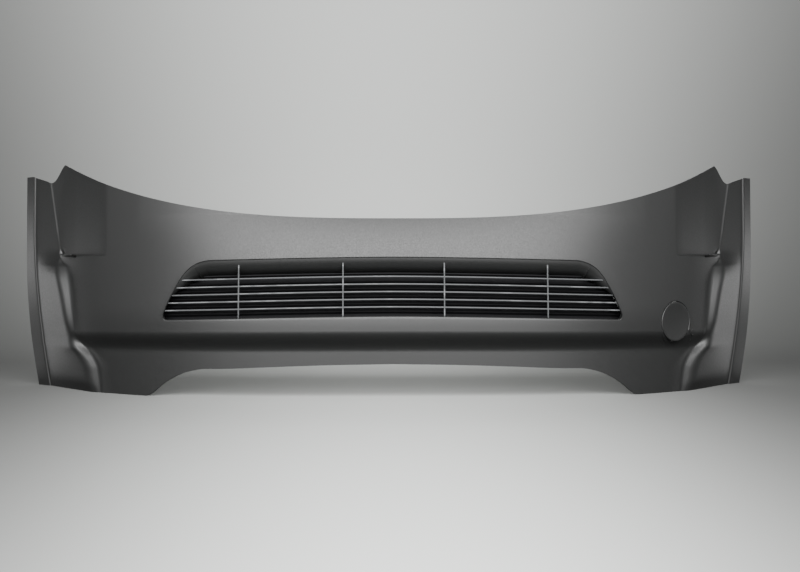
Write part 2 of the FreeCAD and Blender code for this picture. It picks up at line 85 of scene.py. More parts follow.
# The recessed pocket under each headlamp, its ledge and the small dent at the ledge's outer end.
POCKET_X = 593.0
POCKET_PLAN = ((593.0, 137.0), (606.0, 149.5), (620.0, 164.0), (640.0, 185.0), (660.0, 206.0), (680.0, 227.0),
               (713.0, 258.0), (745.0, 282.0), (760.0, 293.0))
LEDGE_Z = 287.0
LEDGE_HALF = 0.8
DENT_X = 708.0
DENT_Z = 291.0
DENT_DEPTH = 9.0
DENT_SPREAD = 11.0

# The upright ridge and the flare: the crease at its foot, its crest, and how softly they are rounded,
# each as (height, amount).
CREASE_X = ((-20, 604), (0, 605), (50, 611), (70, 621), (88, 637), (117, 662), (163, 671), (234, 683),
            (262, 693), (272, 707), (286, 712), (340, 721.5), (443, 739.5), (520, 752))
RIDGE_FOOT_X = ((-20, 604), (0, 605), (50, 611), (70, 621), (88, 637), (117, 662), (163, 671), (234, 683),
                (262, 693), (300, 706), (520, 752))
CREST_X = ((-20, 622), (0, 626), (20, 636), (50, 643), (75, 657), (95, 676), (120, 684), (200, 702),
           (262, 715.5), (272, 715.5), (286, 715.5), (340, 725), (443, 743), (520, 756))
CREST_RISE = ((0, 5), (50, 7), (120, 6), (200, 4), (260, 6), (290, 1.5), (520, 1.5))
CREST_ROUND = ((0, 14), (80, 12), (130, 8), (258, 7), (270, 2.0), (520, 1.4))
CREASE_SOFT = ((0, 12), (80, 13), (120, 10), (200, 7), (258, 5), (270, 1.5), (520, 1.0))
RUN_ON = 2.4
LIP_TURN = 4.0
LIP_SOFT = 0.8

OPENING_TOP = 283.0
OPENING_BOTTOM = 168.0
OPENING_SIDE = ((372.0, 275.6), (390.0, 270.6), (405.0, 262.5), (421.0, 246.0), (439.0, 217.0), (453.0, 190.0),
                (460.5, 172.5))
OPENING_TOP_CORNER = (392.0, 270.0)
OPENING_LOW_CORNER = (461.0, 161.0)
OPENING_CORNER = ((462.3, 166.5), (461.2, 161.0), (457.0, 157.8), (450.0, 157.9))
OPENING_ROUND = 2.4
HOOD_LOW = 196.0
HOOD_HIGH = 268.0
HOOD_TURN = math.radians(64.0)
HOOD_REACH = 33.0
HOOD_BACK = 44.0
HOOD_STEPS = 9
BOW = 10.0
BOW_X = 450.0
BOW_POWER = 1.6

SLAT_COUNT = 5
SLAT_TOP = 246.0
SLAT_PITCH = 15.0
SLAT_DEPTH = 20.0
GRILLE_SET_BACK = 4.0
BAR_X = (-307.0, -100.0, 100.0, 307.0)

TOW_X = 589.0
TOW_Z = 149.0
TOW_RADIUS = 41.0
TOW_GAP = 0.7
TOW_BLOCK_X = 44.0
TOW_BLOCK_Z = 52.0
TOW_ROUND = 1.8
CAP_LEGS = (0.0, 120.0, 240.0)
CAP_LEG = (2.4, 12.0, 14.0)
CAP_BARB = (1.8, 12.0, 4.0)


# ------------------------------------------------------------------ curves
def reading(value, table):
    """A smooth curve through a short table of (place, amount) pairs, read at one place."""
    if value <= table[0][0]:
        return table[0][1]
    if value >= table[-1][0]:
        return table[-1][1]
    k = next(i for i in range(len(table) - 1) if value <= table[i + 1][0])

    def slope(i):
        if i == 0 or i == len(table) - 1:
            a, b = (0, 1) if i == 0 else (-2, -1)
            return (table[b][1] - table[a][1]) / (table[b][0] - table[a][0])
        before = (table[i][1] - table[i - 1][1]) / (table[i][0] - table[i - 1][0])
        after = (table[i + 1][1] - table[i][1]) / (table[i + 1][0] - table[i][0])
        return 0.0 if before * after <= 0.0 else 2.0 * before * after / (before + after)

    (x0, y0), (x1, y1) = table[k], table[k + 1]
    width = x1 - x0
    t = (value - x0) / width
    return ((2 * t ** 3 - 3 * t * t + 1) * y0 + (t ** 3 - 2 * t * t + t) * width * slope(k)
            + (3 * t * t - 2 * t ** 3) * y1 + (t ** 3 - t * t) * width * slope(k + 1))


def smooth(value, low, high):
    """0 below low, 1 above high, soft at both ends."""
    share = min(max((value - low) / (high - low), 0.0), 1.0)
    return share * share * (3.0 - 2.0 * share)


def ramp(value, soft):
    """0 below nothing, value above it, rounded over soft on each side."""
    if value <= -soft:
        return 0.0
    if value >= soft:
        return value
    return (value + soft) ** 2 / (4.0 * soft)


def nearer(a, b, soft):
    """The smaller of two depths, with a fillet where they meet."""
    gap = max(soft - abs(a - b), 0.0) / soft
    return min(a, b) - gap * gap * soft / 4.0


def bow(x):
    return BOW * (abs(x) / BOW_X) ** BOW_POWER


# ------------------------------------------------------------------ the skin's shape
def sweep(x):
    x = abs(x)
    return SWEEP_DEPTH * (x / SWEEP_X) ** SWEEP_POWER + CORNER_TURN * max(x - CORNER_X, 0.0) ** 2


def lean(x, z):
    x = abs(x)
    side = 1.0 - 0.45 * (x / 700.0) ** 2
    middle = max(1.0 - (x / 520.0) ** 2, 0.0)
    roll = TOP_ROLL * min(max(z - TOP_ROLL_FROM, 0.0), 100.0) ** 2
    return LEAN * ramp(z - LEAN_FROM, 20.0) * side + roll * middle


def chin(x, z):
    drop = CHIN_DROP * (x / 534.0) ** 2
    return CHIN_DEPTH * (1.0 - smooth(z, CHIN_BOTTOM - drop, CHIN_TOP - drop))


def lip_inner(z):
    across = 783.0 - 36.0 * (max(330.0 - z, 0.0) / 330.0) ** 1.6
    return across, 310.0 + 24.0 * (max(z, 0.0) / 443.0) ** 1.2


def lip_outer(z):
    across = 812.0 - 32.0 * (max(300.0 - z, 0.0) / 300.0) ** 1.7
    return across, lip_inner(z)[1] + 23.0 + 12.0 * smooth(z, 80.0, 320.0)


def main_depth(x, z):
    """The main face, with the recessed pocket above the ledge at each end."""
    x = abs(x)
    depth = sweep(x) + lean(x, z) + chin(x, z)
    if x > POCKET_X:
        recess = smooth(z, LEDGE_Z - LEDGE_HALF, LEDGE_Z + LEDGE_HALF)
        depth += (reading(x, POCKET_PLAN) + lean(x, z) - depth) * recess
    depth += DENT_DEPTH * math.exp(-((x - DENT_X) ** 2 + (z - DENT_Z) ** 2) / DENT_SPREAD)
    return depth


def crest_depth(z):
    """Depth of the upright ridge's crest, which falls back to the pocket's floor above the ledge."""
    foot = reading(z, RIDGE_FOOT_X)
    low = sweep(foot) + lean(foot, z) + CHIN_DEPTH * (1.0 - smooth(z, 58.0, 150.0)) + reading(z, CREST_RISE)
    crease = reading(z, CREASE_X)
    high = reading(crease, POCKET_PLAN) + lean(crease, z) + 0.3
    return low + (high - low) * smooth(z, 246.0, 304.0)


def skin_depth(x, z):
    """Depth of the skin's outer face anywhere in front view."""
    x = abs(x)
    crease = reading(z, CREASE_X)
    main = main_depth(min(x, crease), z) + RUN_ON * max(x - crease, 0.0)
    if x < crease - 40.0:
        return main
    crest = reading(z, CREST_X)
    foot = main_depth(crease, z)
    top = crest_depth(z)
    ridge = (top - foot) / (crest - crease)
    lip_x, lip_depth = lip_inner(z)
    out_x, out_depth = lip_outer(z)
    face = (lip_depth - top) / (lip_x - crest)
    lip = (out_depth - lip_depth) / (out_x - lip_x - LIP_TURN)
    flare = foot + ridge * (x - crease) + (face - ridge) * ramp(x - crest, reading(z, CREST_ROUND))
    flare += lip * ramp(x - lip_x - LIP_TURN, LIP_SOFT) - face * ramp(x - lip_x, LIP_SOFT)
    return nearer(main, flare, reading(z, CREASE_SOFT))


def top_edge(x):
    x = abs(x)
    if x <= PEAK_X:
        return TOP_MIDDLE + PEAK_RISE * (x / PEAK_X) ** PEAK_POWER
    return reading(x, PEAK_FALL)


def point(x, depth, z):
    """A place in the frame, in metres."""
    return Vector((x * MM, depth * MM + FRONT, z * MM))


# ------------------------------------------------------------------ the flat sheet that the skin is formed from
ZONE_COLUMNS = (66, 42, 13, 26, 4, 9)
ROW_BANDS = ((18, 92.0), (20, 140.0), (30, 262.0), (11, 284.0), (14, 290.0), (34, None))
BLOCK_X = 488.0
BLOCK_LOW = 147.0
BLOCK_HIGH = 290.5


def zone_edges(z):
    crease = reading(z, CREASE_X)
    crest = reading(z, CREST_X)
    lip_x = lip_inner(z)[0]
    return (0.0, 530.0, crease - 6.0, crest + 9.0, lip_x - 1.0, lip_x + 5.0, lip_outer(z)[0])


def column_x(column, z):
    edges = zone_edges(z)
    for zone, count in enumerate(ZONE_COLUMNS):
        if column <= count:
            return edges[zone] + (edges[zone + 1] - edges[zone]) * column / count
        column -= count
    return edges[-1]


def row_z(row, x):
    low = reading(abs(x), LOWER_EDGE)
    for count, high in ROW_BANDS:
        high = top_edge(x) if high is None else high
        if row <= count:
            return low + (high - low) * row / count
        row -= count
        low = high
    return low


def sheet_place(column, row):
    """Where a crossing of the sheet's grid lies in front view."""
    z = 200.0
    for _ in range(12):
        x = column_x(abs(column), z)
        z = row_z(row, x)
    return math.copysign(x, column) if column else 0.0, z


def opening_outline():
    """Half of the grille opening's outline, from the top middle round to the bottom middle."""
    points = [(x, OPENING_TOP - bow(x)) for x in [12.0 * k for k in range(31)]]
    steps = 60
    for k in range(steps + 1):
        x = OPENING_SIDE[0][0] + (OPENING_SIDE[-1][0] - OPENING_SIDE[0][0]) * k / steps
        points.append((x, reading(x, OPENING_SIDE)))
    points += OPENING_CORNER
    points += [(x, OPENING_BOTTOM - bow(x)) for x in [438.0 - 12.166667 * k for k in range(37)]]
    return [Vector(p) for p in points]


class Outline:
    """The opening's outline measured along its length."""

    def __init__(self, points):
        self.points = points
        self.at = [0.0]
        for a, b in zip(points, points[1:]):
            self.at.append(self.at[-1] + (b - a).length)
        self.top_corner = self.nearest(Vector(OPENING_TOP_CORNER))
        self.low_corner = self.nearest(Vector(OPENING_LOW_CORNER))
        self.length = self.at[-1]

    def nearest(self, place):
        k = min(range(len(self.points)), key=lambda i: (self.points[i] - place).length)
        return self.at[k]

    def place(self, along):
        """Point and inward direction at a distance along the half outline."""
        along = min(max(along, 0.0), self.length)
        k = next(i for i in range(len(self.at) - 1) if along <= self.at[i + 1] + 1e-9)
        a, b = self.points[k], self.points[k + 1]
        share = (along - self.at[k]) / (self.at[k + 1] - self.at[k])
        spot = a.lerp(b, share)
        low = self.points[max(k - 1, 0)]
        high = self.points[min(k + 2, len(self.points) - 1)]
        way = (high - low).normalized()
        return spot, Vector((way.y, -way.x))


def opening_target(outline, x, z):
    """The outline place that belongs to a point on the edge of the block cut out of the sheet."""
    side = -1.0 if x < 0 else 1.0
    across = min(abs(x) / BLOCK_X, 1.0)
    if z > BLOCK_HIGH - 1.5 and abs(x) < BLOCK_X - 1.0:
        along = outline.top_corner * across
    elif z < BLOCK_LOW + 3.0 and abs(x) < BLOCK_X - 1.0:
        share = (1.0 - across) ** 1.35
        along = outline.low_corner + (outline.length - outline.low_corner) * share
    else:
        share = 1.0 - (z - BLOCK_LOW) / (BLOCK_HIGH - BLOCK_LOW)
        share = min(max(share, 0.0), 1.0)
        share = 1.0 - (1.0 - share) ** 1.25
        along = outline.top_corner + (outline.low_corner - outline.top_corner) * share
    spot, inward = outline.place(along)
    return Vector((side * spot.x, spot.y)), Vector((side * inward.x, inward.y))


# ------------------------------------------------------------------ tow-eye axis
TOW_YAW = math.atan(SWEEP_POWER * SWEEP_DEPTH / SWEEP_X * (TOW_X / SWEEP_X) ** (SWEEP_POWER - 1.0))
TOW_OUT = Vector((math.sin(TOW_YAW), -math.cos(TOW_YAW), 0.0))
TOW_SIDE = Vector((math.cos(TOW_YAW), math.sin(TOW_YAW), 0.0))


def tow_centre():
    return point(TOW_X, skin_depth(TOW_X, TOW_Z), TOW_Z)


# ------------------------------------------------------------------ mesh helpers
def new_piece(name, bm, body, material, replaces=()):
    """Makes an object of a bmesh, rides it on a body and gives it its finish."""
    mesh = bpy.data.meshes.new(name)
    for face in bm.faces:
        face.smooth = True
    bm.to_mesh(mesh)
    bm.free()
    piece = bpy.data.objects.new(name, mesh)
    bpy.context.scene.collection.objects.link(piece)
    mesh.materials.append(material)
    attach(piece, body)
    if replaces:
        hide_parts(*replaces)
    return piece


def finish_edges(piece, width, segments=2, angle=40.0):
    bevel = piece.modifiers.new("edges", "BEVEL")
    bevel.width = width
    bevel.segments = segments
    bevel.limit_method = "ANGLE"
    bevel.angle_limit = math.radians(angle)
    bevel.harden_normals = True
    bevel.use_clamp_overlap = True


def extrude_loop(bm, edges):
    """Extrudes a loop of open edges once and returns the new edges and vertices."""
    made = bmesh.ops.extrude_edge_only(bm, edges=edges)["geom"]
    verts = [g for g in made if isinstance(g, bmesh.types.BMVert)]
    return [g for g in made if isinstance(g, bmesh.types.BMEdge) and g.is_boundary], verts


def run_band(bm, stations, section):
    """A band: a section's face extruded from station to station. Returns its two end faces."""
    first = bm.faces.new([bm.verts.new(p) for p in section(stations[0])])
    face = first
    for station in stations[1:]:
        made = bmesh.ops.extrude_face_region(bm, geom=[face])["geom"]
        face = next(g for g in made if isinstance(g, bmesh.types.BMFace))
        for vert, place in zip(face.verts, section(station)):
            vert.co = place
    return first, face


def span(low, high, count):
    return [low + (high - low) * k / (count - 1) for k in range(count)]


# ------------------------------------------------------------------ pieces: the skin
def form_sheet():
    """The flat sheet with its two holes, in front view: x across and z up, in millimetres."""
    bm = bmesh.new()
    half = sum(ZONE_COLUMNS)
    rows = sum(count for count, _ in ROW_BANDS)
    bmesh.ops.create_grid(bm, x_segments=2 * half, y_segments=rows, size=1.0)
    for vert in bm.verts:
        column = round(vert.co.x * half)
        row = round((vert.co.y + 1.0) / 2.0 * rows)
        x, z = sheet_place(column, row)
        vert.co = (x, 0.0, z)
    return bm


def cut_block(bm, inside):
    """Removes the sheet's cells that pass a test and returns the open edges left round them."""
    gone = [f for f in bm.faces if inside(f.calc_center_median())]
    rim = {v for f in gone for v in f.verts}
    bmesh.ops.delete(bm, geom=gone, context="FACES")
    rim = {v for v in rim if v.is_valid}
    return [e for e in bm.edges if e.is_boundary and e.verts[0] in rim and e.verts[1] in rim]


def close_in(bm, edges, target, rings):
    """A ring of faces from a block's edge to a target outline, in even steps."""
    goals = {}
    for k in range(1, rings + 1):
        before = {tuple(round(c, 4) for c in v.co): v for e in edges for v in e.verts}
        edges, verts = extrude_loop(bm, edges)
        for vert in verts:
            key = tuple(round(c, 4) for c in vert.co)
            source = before[key]
            if source not in goals:
                goals[source] = (source.co.copy(), target(source.co.x, source.co.z))
            first, last = goals[source]
            share = k / rings
            vert.co = first.lerp(Vector((last.x, 0.0, last.y)), share)
            goals[vert] = goals[source]
    return edges


def roll_opening(bm, edges, outline):
    """The opening's rounded lip, the flange behind it and the hood along its top."""
    facts = {}
    for vert in {v for e in edges for v in e.verts}:
        x, z = vert.co.x / MM, vert.co.z / MM
        here = Vector((abs(x), z))
        best = min(span(0.0, outline.length, 900), key=lambda s: (outline.place(s)[0] - here).length)
        spot, inward = outline.place(best)
        side = -1.0 if x < 0 else 1.0
        hood = smooth(spot.y, HOOD_LOW, HOOD_HIGH) if best < outline.low_corner else 0.0
        facts[vert] = (side * spot.x, spot.y, side * inward.x, inward.y, hood)
    lip = ((1.1, 0.25), (0.35, 0.9), (0.0, 2.0))
    steps = [(lambda hood, g=grow, b=back: (-g, b)) for grow, back in lip]
    for k in range(1, HOOD_STEPS + 1):
        turn = HOOD_TURN * k / HOOD_STEPS

        def hood_step(hood, turn=turn, k=k):
            inward = HOOD_REACH * math.sin(turn) * hood
            back = (2.0 + HOOD_BACK * (1.0 - math.cos(turn))) * hood + (2.0 + k) * (1.0 - hood)
            return inward, back
        steps.append(hood_step)
    for step in steps:
        before = {tuple(round(c, 6) for c in v.co): v for e in edges for v in e.verts}
        edges, verts = extrude_loop(bm, edges)
        for vert in verts:
            x, z, dx, dz, hood = facts[before[tuple(round(c, 6) for c in vert.co)]]
            inward, back = step(hood)
            vert.co = point(x + dx * inward, skin_depth(x, z) + back, z + dz * inward)
            facts[vert] = (x, z, dx, dz, hood)


def roll_tow_hole(bm, edges):
    """The rounded edge and short sleeve of the tow-eye hole."""
    centre = tow_centre()
    for grow, back in ((0.9, 0.2), (0.3, 0.8), (0.0, 1.8), (0.0, 6.0)):
        edges, verts = extrude_loop(bm, edges)
        radius = (TOW_RADIUS + TOW_GAP + grow) * MM
        for vert in verts:
            arm = vert.co - centre
            turn = math.atan2(arm.z, arm.dot(TOW_SIDE))
            flat = centre + TOW_SIDE * (radius * math.cos(turn)) + Vector((0, 0, radius * math.sin(turn)))
            x, z = flat.x / MM, flat.z / MM
            rise = (point(x, skin_depth(x, z), z) - flat).dot(TOW_OUT)
            vert.co = flat + TOW_OUT * (rise - back * MM)


def tow_target(x, z):
    turn = math.atan2(z - TOW_Z, (x - TOW_X) / math.cos(TOW_YAW))
    radius = TOW_RADIUS + TOW_GAP + TOW_ROUND
    return Vector((TOW_X + radius * math.cos(turn) * math.cos(TOW_YAW), TOW_Z + radius * math.sin(turn)))


def build_skin(settings):
    outline = Outline(opening_outline())
    bm = form_sheet()
    opening = cut_block(bm, lambda c: abs(c.x) < BLOCK_X and BLOCK_LOW < c.z < BLOCK_HIGH)
    tow = cut_block(bm, lambda c: abs(c.x - TOW_X) < TOW_BLOCK_X and abs(c.z - TOW_Z) < TOW_BLOCK_Z)

    def opening_goal(x, z):
        spot, inward = opening_target(outline, x, z)
        return spot - inward * OPENING_ROUND
    opening = close_in(bm, opening, opening_goal, 5)
    tow = close_in(bm, tow, tow_target, 5)
    for vert in bm.verts:
        vert.co = point(vert.co.x, skin_depth(vert.co.x, vert.co.z), vert.co.z)
    roll_opening(bm, opening, outline)
    roll_tow_hole(bm, tow)
    bm.normal_update()
    front = max(bm.faces, key=lambda f: abs(f.normal.y))
    if front.normal.y > 0:
        bmesh.ops.reverse_faces(bm, faces=bm.faces)
    finish = grained_plastic(settings)
    skin = new_piece("cover_skin", bm, COVER_BODY, finish, ["bumper_cover"])
    wall = skin.modifiers.new("wall", "SOLIDIFY")
    wall.thickness = settings.wall
    wall.offset = -1.0
    wall.use_even_offset = False
    finish_edges(skin, 0.0007, 2, 55.0)
    return skin


# ------------------------------------------------------------------ pieces: the grille
def half_opening(z):
    """Half width of the opening at a height."""
    side = [(height, x) for x, height in reversed(OPENING_SIDE)]
    return reading(z, [(157.0, 461.5)] + side)


def build_slats(settings):
    bm = bmesh.new()
    half = settings.slat_thickness / MM / 2.0
    for index in range(SLAT_COUNT):
        middle = SLAT_TOP - SLAT_PITCH * index
        reach = half_opening(middle - bow(430.0)) + 2.0

        def section(x, middle=middle):
            z = middle - bow(x)
            front = sweep(x) + lean(x, z) + GRILLE_SET_BACK
            round_front = ((0.35, -0.72), (0.0, -0.3), (0.0, 0.3), (0.35, 0.72), (1.2, 1.0))
            places = [(front + depth, z + rise * half) for depth, rise in round_front]
            places += [(front + SLAT_DEPTH, z + half * 0.7), (front + SLAT_DEPTH, z - half * 0.7),
                       (front + 1.2, z - half)]
            return [point(x, depth, height) for depth, height in places]
        run_band(bm, span(-reach, reach, 61), section)
    bmesh.ops.recalc_face_normals(bm, faces=bm.faces)
    finish = slat_plastic(settings)
    return new_piece("grille_slats", bm, COVER_BODY, finish, ["grille_insert"])


def build_bars(settings):
    bm = bmesh.new()
    half = settings.slat_thickness / MM / 2.0
    for x in BAR_X:
        low = OPENING_BOTTOM - bow(x) - 2.0
        high = OPENING_TOP - bow(x) - 9.5

        def section(z, x=x):
            front = sweep(x) + lean(x, z) + GRILLE_SET_BACK - 0.5
            shape = ((-1.0, 1.0), (-0.72, 0.3), (-0.3, 0.0), (0.3, 0.0),
                     (0.72, 0.3), (1.0, 1.0), (1.0, 6.0), (-1.0, 6.0))
            return [point(x + side * half, front + depth, z) for side, depth in shape]
        run_band(bm, span(low, high, 12), section)
    bmesh.ops.recalc_face_normals(bm, faces=bm.faces)
    finish = slat_plastic(settings)
    return new_piece("grille_bars", bm, COVER_BODY, finish, ["grille_insert"])


def build_grille_frame(settings):
    """The moulded ring behind the opening that carries the slats."""
    outline = Outline(opening_outline())
    bm = bmesh.new()
    count = 120
    loop = []
    for k in range(2 * count):
        along = outline.length * (k if k < count else 2 * count - k) / count
        spot, inward = outline.place(along)
        side = 1.0 if k < count else -1.0
        loop.append((side * spot.x, spot.y, side * inward.x, inward.y))

    def section(place):
        x, z, dx, dz = place
        base = sweep(x) + lean(x, z)
        shape = ((-3.2, 5.5), (-10.0, 5.5), (-10.0, 8.0), (-5.2, 8.0), (-5.2, 27.0), (-3.2, 27.0))
        return [point(x + dx * inward, base + depth, z + dz * inward) for inward, depth in shape]
    ends = run_band(bm, loop, section)
    edges = [e for face in ends for e in face.edges]
    bmesh.ops.delete(bm, geom=ends, context="FACES_ONLY")
    bmesh.ops.bridge_loops(bm, edges=edges)
    bmesh.ops.recalc_face_normals(bm, faces=bm.faces)
    finish = slat_plastic(settings)
    piece = new_piece("grille_frame", bm, COVER_BODY, finish, ["grille_insert"])
    finish_edges(piece, 0.0004, 1, 50.0)
    return piece


# ------------------------------------------------------------------ pieces: tow-eye cover
def build_cap(settings):
    """A dished disc spun round its axis, with three snap legs on its back."""
    bm = bmesh.new()
    radius = TOW_RADIUS
    profile = [(0.0, -3.4), (radius * 0.25, -3.25), (radius * 0.5, -2.75), (radius * 0.72, -2.0),
               (radius - 4.0, -1.1), (radius - 1.2, -0.75), (radius - 0.3, -1.1), (radius, -1.7), (radius, -4.6),
               (radius - 0.6, -5.0), (radius - 3.0, -5.0), (0.0, -5.4)]
    verts = [bm.verts.new((r * MM, 0.0, rise * MM)) for r, rise in profile]
    edges = [bm.edges.new(pair) for pair in zip(verts, verts[1:])]
    bmesh.ops.spin(bm, geom=verts + edges, cent=(0, 0, 0), axis=(0, 0, 1), angle=math.tau, steps=96,
                   use_merge=True)
    bmesh.ops.remove_doubles(bm, verts=bm.verts, dist=1e-6)
    for turn in CAP_LEGS:
        leg = []
        for size, inset, level in ((CAP_LEG, 4.0, -9.6), (CAP_BARB, 2.0, -13.0)):
            block = bmesh.ops.create_cube(bm, size=1.0)["verts"]
            bmesh.ops.scale(bm, verts=block, vec=Vector(size) * MM)
            bmesh.ops.translate(bm, verts=block, vec=((radius - inset) * MM, 0.0, level * MM))
            leg += block
        about = Matrix.Rotation(math.radians(turn + 90.0), 3, "Z")
        bmesh.ops.rotate(bm, verts=leg, cent=(0, 0, 0), matrix=about)
    bmesh.ops.recalc_face_normals(bm, faces=bm.faces)
    axes = Matrix((TOW_SIDE, Vector((0, 0, 1)), TOW_OUT)).transposed()
    bmesh.ops.transform(bm, matrix=axes.to_4x4(), verts=bm.verts)
    bmesh.ops.translate(bm, verts=bm.verts, vec=tow_centre())
    finish = grained_plastic(settings)
    return new_piece("tow_eye_cap", bm, CAP_BODY, finish, ["tow_eye_cover"])


# ------------------------------------------------------------------ pieces: fixings moulded on the back
RAIL_LEVEL = 350.0
RAIL_DEPTH = 76.0
RAIL_CLIP_X = (-330.0, -110.0, 110.0, 330.0)
TRAY_LEVEL = 82.0
TRAY_DEPTH = 78.0
TRAY_X = (-300.0, -100.0, 100.0, 300.0)
STIFFENER_X = (-200.0, 0.0, 200.0)
STIFFENER_DEPTH = 44.0
CLIP_HOLE_RADIUS = 4.0
TAB_Z = (70.0, 190.0, 310.0)
TAB_HOLE_RADIUS = 3.0
TAB_SIZE = (28.0, 30.0)
TAB_DEPTH = 325.0
SCREW_X = 200.0
BOSS_BACK = 20.0
BOSS_RADII = (5.0, 2.0)
LUG_SIZE = (16.0, 20.0)
LUG_THICK = 2.5
LUG_HOLE_RADIUS = 2.3
EAR_WIDE = 34.0
EAR_PAST = 10.0
PLATE = 3.0


def holed_plate(bm, middle, size, hole, radius, across, along, thick):
    """A rounded plate with a round hole. across and along are its axes in its own plane."""
    count = 40
    outer = bmesh.ops.create_circle(bm, cap_ends=False, segments=count, radius=1.0)["verts"]
    inner = bmesh.ops.create_circle(bm, cap_ends=False, segments=count, radius=1.0)["verts"]
    for vert in outer:
        turn = math.atan2(vert.co.y, vert.co.x)
        c, s = abs(math.cos(turn)) / (size[0] / 2.0), abs(math.sin(turn)) / (size[1] / 2.0)
        reach = (c ** 9 + s ** 9) ** (-1.0 / 9.0)
        vert.co = middle + (across * math.cos(turn) + along * math.sin(turn)) * (reach * MM)
    for vert in inner:
        turn = math.atan2(vert.co.y, vert.co.x)
        vert.co = hole + (across * math.cos(turn) + along * math.sin(turn)) * (radius * MM)
    edges = [e for e in bm.edges if e.verts[0] in outer or e.verts[0] in inner]
    faces = bmesh.ops.bridge_loops(bm, edges=edges)["faces"]
    made = bmesh.ops.extrude_face_region(bm, geom=faces)["geom"]
    bmesh.ops.translate(bm, verts=[g for g in made if isinstance(g, bmesh.types.BMVert)],
                        vec=across.cross(along) * (thick * MM))


RIGHT = Vector((1.0, 0.0, 0.0))
BACK = Vector((0.0, 1.0, 0.0))
UP = Vector((0.0, 0.0, 1.0))


def ear(bm, x, level, depth):
    """A level ear from the skin's back to a little past its clip hole."""
    start = skin_depth(abs(x) + EAR_WIDE / 2.0, level) + 1.2
    end = depth + EAR_PAST
    middle = point(x, (start + end) / 2.0, level)
    hole = point(x, depth, level)
    holed_plate(bm, middle, (EAR_WIDE, end - start), hole, CLIP_HOLE_RADIUS, RIGHT, BACK, PLATE)


def boss_places():
    return [(x, z) for x in (-SCREW_X, SCREW_X)
            for z in (OPENING_TOP - bow(SCREW_X) + 17.0, OPENING_BOTTOM - bow(SCREW_X) - 15.0)]


def build_fixings(settings):
    """Ears along the top edge and the lower lip, tabs on the arch lips, and screw bosses."""
    bm = bmesh.new()
    for x in RAIL_CLIP_X:
        ear(bm, x, RAIL_LEVEL, RAIL_DEPTH)
    for x in TRAY_X:
        ear(bm, x, TRAY_LEVEL, TRAY_DEPTH)
    for x in STIFFENER_X:
        ear(bm, x, TRAY_LEVEL, sweep(x) + STIFFENER_DEPTH)
    for z in TAB_Z:
        out_x = lip_outer(z)[0]
        depth = TAB_DEPTH + 38.0 * (z / 443.0) ** 1.2
        for side in (-1.0, 1.0):
            middle = point(side * (out_x - 26.0), depth + PLATE, z)
            hole = point(side * (out_x - 29.0), depth + PLATE, z)
            holed_plate(bm, middle, TAB_SIZE, hole, TAB_HOLE_RADIUS, RIGHT, UP, PLATE)
    for x, z in boss_places():
        start = skin_depth(x, z) + 2.0
        length = sweep(x) + lean(x, z) + chin(x, z) + BOSS_BACK - start
        made = []
        for radius in BOSS_RADII:
            ring = bmesh.ops.create_circle(bm, cap_ends=False, segments=32, radius=radius * MM)["verts"]
            upright = Matrix.Rotation(math.pi / 2.0, 3, "X")
            bmesh.ops.rotate(bm, verts=ring, cent=(0, 0, 0), matrix=upright)
            bmesh.ops.translate(bm, verts=ring, vec=point(x, start + length, z))
            made += ring
        edges = [e for e in bm.edges if e.verts[0] in made]
        faces = bmesh.ops.bridge_loops(bm, edges=edges)["faces"]
        geom = bmesh.ops.extrude_face_region(bm, geom=faces)["geom"]
        bmesh.ops.translate(bm, verts=[g for g in geom if isinstance(g, bmesh.types.BMVert)],
                            vec=(0.0, -length * MM, 0.0))
    bmesh.ops.recalc_face_normals(bm, faces=bm.faces)
    finish = grained_plastic(settings)
    piece = new_piece("cover_fixings", bm, COVER_BODY, finish, ["bumper_cover"])
    finish_edges(piece, 0.0004, 2, 40.0)
    return piece


def build_lugs(settings):
    """The grille's screw lugs, seated on the bosses."""
    bm = bmesh.new()
    for x, z in boss_places():
        back = sweep(x) + lean(x, z) + chin(x, z) + BOSS_BACK + LUG_THICK
        toward = 4.0 if z < OPENING_BOTTOM else -4.0
        middle = point(x, back, z + toward)
        holed_plate(bm, middle, LUG_SIZE, point(x, back, z), LUG_HOLE_RADIUS, RIGHT, UP, LUG_THICK)
    bmesh.ops.recalc_face_normals(bm, faces=bm.faces)
    finish = slat_plastic(settings)
    piece = new_piece("grille_lugs", bm, COVER_BODY, finish, ["grille_insert"])
    finish_edges(piece, 0.0003, 2, 40.0)
    return piece


# ------------------------------------------------------------------ finishes
def nodes_of(name):
    material = bpy.data.materials.get("finish_" + name)
    if material:
        return material, None, None
    material = bpy.data.materials.new("finish_" + name)
    material.use_nodes = True
    tree = material.node_tree
    return material, tree, tree.nodes["Principled BSDF"]


def add(tree, kind, **values):
    node = tree.nodes.new(kind)
    for key, value in values.items():
        if hasattr(node, key):
            setattr(node, key, value)
        else:
            node.inputs[key.replace("_", " ")].default_value = value
    return node


def noise(tree, scale, detail=2.0, roughness=0.5):
    coords = tree.nodes.get("Texture Coordinate") or add(tree, "ShaderNodeTexCoord", name="Texture Coordinate")
    node = add(tree, "ShaderNodeTexNoise")
    node.inputs["Scale"].default_value = scale
    node.inputs["Detail"].default_value = detail
    node.inputs["Roughness"].default_value = roughness
    tree.links.new(coords.outputs["Object"], node.inputs["Vector"])
    return node


def ramp_node(tree, source, low, high, first, last):
    node = add(tree, "ShaderNodeMapRange")
    node.inputs["From Min"].default_value = low
    node.inputs["From Max"].default_value = high
    node.inputs["To Min"].default_value = first
    node.inputs["To Max"].default_value = last
    tree.links.new(source, node.inputs["Value"])
    return node


